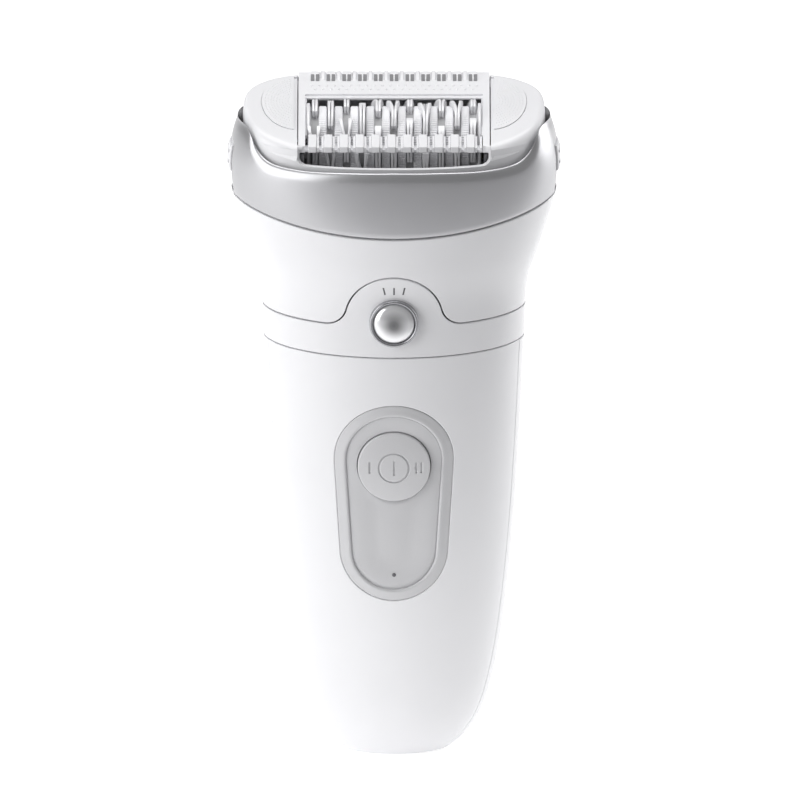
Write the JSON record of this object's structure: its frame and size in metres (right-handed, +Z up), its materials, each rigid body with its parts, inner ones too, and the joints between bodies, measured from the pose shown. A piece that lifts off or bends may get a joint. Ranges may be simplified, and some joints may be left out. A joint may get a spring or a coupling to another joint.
{
  "type": "epilator",
  "caption": "Cordless epilator: oval handle with a rotary switch and work light, and a lift-off head with a geared tweezer drum, tilting housing and clip-on cap.",
  "frame": {"origin": "middle of the flat base that the epilator stands on", "axes": "+Z up the handle to the head, -Y the front with the switch and the light, +X to the right seen from the front"},
  "size_m": [0.0726, 0.0446, 0.1507],
  "materials": {
    "shell_white": "glossy moulded",
    "button_white": "satin moulded",
    "head_white": "glossy moulded",
    "cap_white": "satin moulded",
    "pad_white": "dotted, satin",
    "nub_grey": "satin moulded",
    "silver_trim": "silver lacquer, satin",
    "lens_ring": "dark silver lacquer",
    "panel_grey": "satin moulded",
    "thumb_grey": "fine matt",
    "knob_grey": "satin moulded",
    "frame_plastic": "moulded",
    "dark_plastic": "moulded",
    "bay_grey": "satin moulded",
    "seal_rubber": "matt",
    "steel": "ground",
    "cell_sleeve": "sleeved",
    "can_metal": "plated",
    "brass": "turned",
    "gear_plastic": "moulded",
    "board_green": "solder mask",
    "drum_grey": "satin moulded",
    "tweezer_metal": "polished, pale",
    "reflector": "mirror",
    "lens_clear": "clear",
    "led_clear": "translucent"
  },
  "bodies": {
    "handle": {"front_shell": "shell_white", "rear_shell": "shell_white", "base_cap": "shell_white", "base_seal": "seal_rubber", "charge_socket": "dark_plastic", "socket_pins": "brass", "chassis": "frame_plastic", "battery": "cell_sleeve", "battery_tabs": "brass", "circuit_board": "board_green", "board_parts": "dark_plastic", "switch_contact": "brass", "charge_light": "led_clear", "motor_can": "can_metal", "gear_plate": "frame_plastic", "gear_cover": "frame_plastic", "collar_ring": "shell_white", "neck_shell": "shell_white", "light_bezel": "lens_ring", "light_reflector": "reflector", "light_lens": "lens_clear", "light_board": "board_green", "switch_panel": "panel_grey", "thumb_pad": "thumb_grey", "knob_seal": "seal_rubber", "chassis_screws": "steel", "coupling_bush": "brass", "shaft_seal": "seal_rubber"},
    "power_knob": {"power_knob": "knob_grey", "knob_wiper": "brass"},
    "motor_rotor": {"motor_shaft": "steel", "motor_pinion": "brass"},
    "coupling": {"drive_gear": "gear_plastic", "coupling_shaft": "steel"},
    "yoke": {"yoke_frame": "frame_plastic", "silver_bezel": "silver_trim", "drum_carrier": "frame_plastic", "drum_bushes": "brass", "shaft_bushes": "brass", "release_springs": "steel"},
    "release_left": {"release_button_left": "button_white"},
    "release_right": {"release_button_right": "button_white"},
    "head_input": {"input_shaft": "steel", "input_gear": "gear_plastic"},
    "head_side_shaft": {"side_shaft": "steel", "side_gear": "gear_plastic", "crown_pinion": "brass"},
    "drum": {"drum_core": "drum_grey", "tweezer_plates": "tweezer_metal", "drum_axle": "steel", "crown_gear": "gear_plastic"},
    "head": {"head_housing": "head_white", "bay_walls": "bay_grey", "skin_pad_left": "pad_white", "skin_pad_right": "pad_white"},
    "cap": {"cap_frame": "cap_white", "cap_comb": "cap_white", "massage_nubs": "nub_grey"}
  },
  "joints": [
    {"name": "head_release", "type": "slide", "parent": "handle", "child": "yoke", "axis": [0, 0, 1], "range_m": [0, 0.03]},
    {"name": "knob_turn", "type": "hinge", "parent": "handle", "child": "power_knob", "pos_m": [0, -0.0175, 0.0704], "axis": [0, -1, 0], "range_deg": [-25, 25]},
    {"name": "motor_spin", "type": "hinge", "parent": "handle", "child": "motor_rotor", "pos_m": [0, 0, 0.1], "axis": [0, 0, 1], "continuous": true},
    {"name": "coupling_spin", "type": "hinge", "parent": "handle", "child": "coupling", "pos_m": [0.012, 0, 0.1], "axis": [0, 0, 1], "continuous": true},
    {"name": "drum_spin", "type": "hinge", "parent": "yoke", "child": "drum", "pos_m": [0, 0, 0.1391], "axis": [1, 0, 0], "continuous": true},
    {"name": "input_spin", "type": "hinge", "parent": "yoke", "child": "head_input", "pos_m": [0.012, 0, 0.12], "axis": [0, 0, 1], "continuous": true},
    {"name": "side_spin", "type": "hinge", "parent": "yoke", "child": "head_side_shaft", "pos_m": [0.0249, 0, 0.12], "axis": [0, 0, 1], "continuous": true},
    {"name": "release_press_left", "type": "slide", "parent": "yoke", "child": "release_left", "axis": [1, 0, 0], "range_m": [0, 0.0009], "stiffness_N_per_m": 400},
    {"name": "release_press_right", "type": "slide", "parent": "yoke", "child": "release_right", "axis": [-1, 0, 0], "range_m": [0, 0.0009], "stiffness_N_per_m": 400},
    {"name": "head_tilt", "type": "hinge", "parent": "yoke", "child": "head", "pos_m": [0, 0, 0.1391], "axis": [1, 0, 0], "range_deg": [-8, 8], "stiffness_Nm_per_rad": 0.05},
    {"name": "cap_lift", "type": "slide", "parent": "head", "child": "cap", "axis": [0, 0, 1], "range_m": [0, 0.03]}
  ],
  "couplings": [
    {"joint": "side_spin", "follows": "drum_spin", "ratio": -3},
    {"joint": "input_spin", "follows": "drum_spin", "ratio": 1.1613},
    {"joint": "coupling_spin", "follows": "drum_spin", "ratio": 1.1613},
    {"joint": "motor_spin", "follows": "drum_spin", "ratio": -5.0323}
  ]
}
